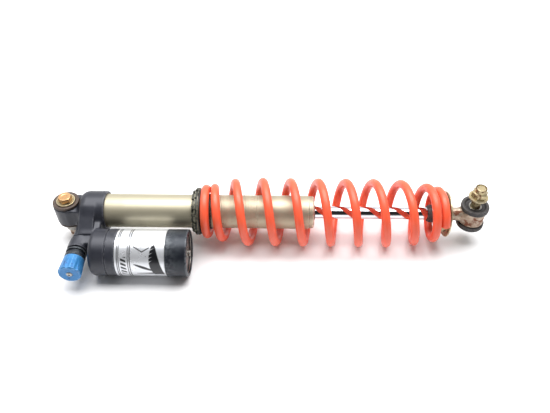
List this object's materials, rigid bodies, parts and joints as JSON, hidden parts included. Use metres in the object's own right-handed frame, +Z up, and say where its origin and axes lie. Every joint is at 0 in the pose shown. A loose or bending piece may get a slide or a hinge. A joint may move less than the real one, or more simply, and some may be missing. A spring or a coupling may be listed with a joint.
{
  "type": "rear shock absorber",
  "caption": "Coil-over rear shock absorber with a barrel-shaped spring, a piggyback gas reservoir, a compression adjuster knob and a rubber-bushed eye with its bolt at each end.",
  "frame": {"origin": "middle of the underside of the whole part as it lies on its side", "axes": "+X along the damper from the upper eye to the lower eye, +Z up along both eye bolts, the reservoir on the -Y side"},
  "size_m": [0.5554, 0.1408, 0.0902],
  "materials": {
    "cast_black": "black anodised casting, satin, worn at the edges",
    "hard_anodised": "champagne hard anodised, fine turned",
    "black_anodised": "black anodised, satin, scuffed",
    "collar_black": "faded black anodised",
    "spring_red": "orange-red powder coat, glossy",
    "chrome": "hard chrome, polished",
    "zinc_yellow": "yellow zinc plate, tarnished",
    "zinc_rusty": "zinc plate with brown rust",
    "steel": "plain machined steel",
    "bronze": "bronze, machined",
    "rubber": "black rubber, dusty",
    "bush_brown": "brown-black bush, worn",
    "ptfe": "filled PTFE",
    "polymer": "acetal",
    "print_silver": null,
    "grey_anodised": "grey anodised, turned",
    "knob_blue": "blue anodised, satin"
  },
  "bodies": {
    "damper_body": {"head_casting": "cast_black", "body_tube": "hard_anodised", "tube_oring": "rubber", "seal_head": "hard_anodised", "seal_head_oring": "rubber", "shaft_bushing": "bronze", "shaft_seal": "rubber", "dust_wiper": "rubber", "coil_spring": "spring_red", "upper_bush_top": "bush_brown", "upper_bush_bottom": "bush_brown", "reservoir_tube": "hard_anodised", "reservoir_sleeve": "print_silver", "reservoir_end_cap": "black_anodised", "end_cap_ring": "steel", "end_cap_oring": "rubber", "valve_plate": "grey_anodised", "fill_valve_body": "steel", "adjuster_cartridge": "black_anodised", "adjuster_oring": "rubber", "base_valve": "bronze", "base_valve_shims": "steel", "detent_spring": "steel", "detent_ball": "steel"},
    "preload_washer": {"slip_washer": "polymer"},
    "preload_ring": {"preload_collar": "collar_black", "lock_ring": "collar_black", "collar_set_screw": "steel"},
    "spring_seat": {"spring_retainer": "zinc_yellow"},
    "damper_rod": {"damper_shaft": "chrome", "main_piston": "steel", "piston_band": "ptfe", "rebound_shims": "steel", "compression_shims": "steel", "piston_nut": "steel", "top_out_bumper": "polymer", "bump_stop": "rubber", "bump_stop_cup": "steel", "lower_eyelet": "zinc_yellow", "lower_bush_top": "rubber", "lower_bush_bottom": "rubber"},
    "lower_pin": {"lower_sleeve": "steel", "lower_bolt": "zinc_rusty", "lower_nut": "zinc_yellow"},
    "upper_pin": {"upper_sleeve": "steel", "upper_washer": "zinc_yellow", "upper_bolt": "zinc_yellow", "upper_spacer": "steel", "upper_nut": "zinc_rusty"},
    "compression_knob": {"adjuster_knob": "knob_blue", "knob_screw": "steel", "adjuster_spindle": "steel"},
    "gas_piston": {"floating_piston": "grey_anodised", "floating_piston_oring": "rubber", "floating_piston_band": "ptfe"},
    "valve_pin": {"fill_valve_pin": "bronze"}
  },
  "joints": [
    {"name": "shaft_slide", "type": "slide", "parent": "damper_body", "child": "spring_seat", "axis": [-1, 0, 0], "range_m": [0, 0.125], "stiffness_N_per_m": 41000, "springref_m": -0.003, "deforming": ["coil_spring"]},
    {"name": "shaft_spin", "type": "hinge", "parent": "spring_seat", "child": "damper_rod", "pos_m": [0.22425, 0.02627, 0.04416], "axis": [1, 0, 0], "continuous": true},
    {"name": "lower_bush_pivot", "type": "hinge", "parent": "damper_rod", "child": "lower_pin", "pos_m": [0.26025, 0.02627, 0.04416], "axis": [0, 0, 1], "range_deg": [-20, 20], "stiffness_Nm_per_rad": 8},
    {"name": "upper_bush_pivot", "type": "hinge", "parent": "damper_body", "child": "upper_pin", "pos_m": [-0.26075, 0.02627, 0.04416], "axis": [0, 0, 1], "range_deg": [-20, 20], "stiffness_Nm_per_rad": 8},
    {"name": "knob_turn", "type": "hinge", "parent": "damper_body", "child": "compression_knob", "pos_m": [-0.23775, -0.05773, 0.03216], "axis": [0, -1, 0], "range_deg": [-135, 135]},
    {"name": "floating_piston_slide", "type": "slide", "parent": "damper_body", "child": "gas_piston", "axis": [1, 0, 0], "range_m": [0, 0.0127]},
    {"name": "collar_slide", "type": "slide", "parent": "damper_body", "child": "preload_washer", "axis": [1, 0, 0], "range_m": [-0.0081, 0]},
    {"name": "collar_turn", "type": "hinge", "parent": "preload_washer", "child": "preload_ring", "pos_m": [-0.09325, 0.02627, 0.04416], "axis": [1, 0, 0], "range_deg": [-1440, 0]},
    {"name": "valve_pin_push", "type": "slide", "parent": "damper_body", "child": "valve_pin", "axis": [-1, 0, 0], "range_m": [0, 0.0012], "stiffness_N_per_m": 500, "springref_m": -0.001}
  ],
  "couplings": [
    {"joint": "floating_piston_slide", "follows": "shaft_slide", "ratio": 0.10078},
    {"joint": "collar_slide", "follows": "collar_turn", "m_per_rad": 0.00031831}
  ]
}
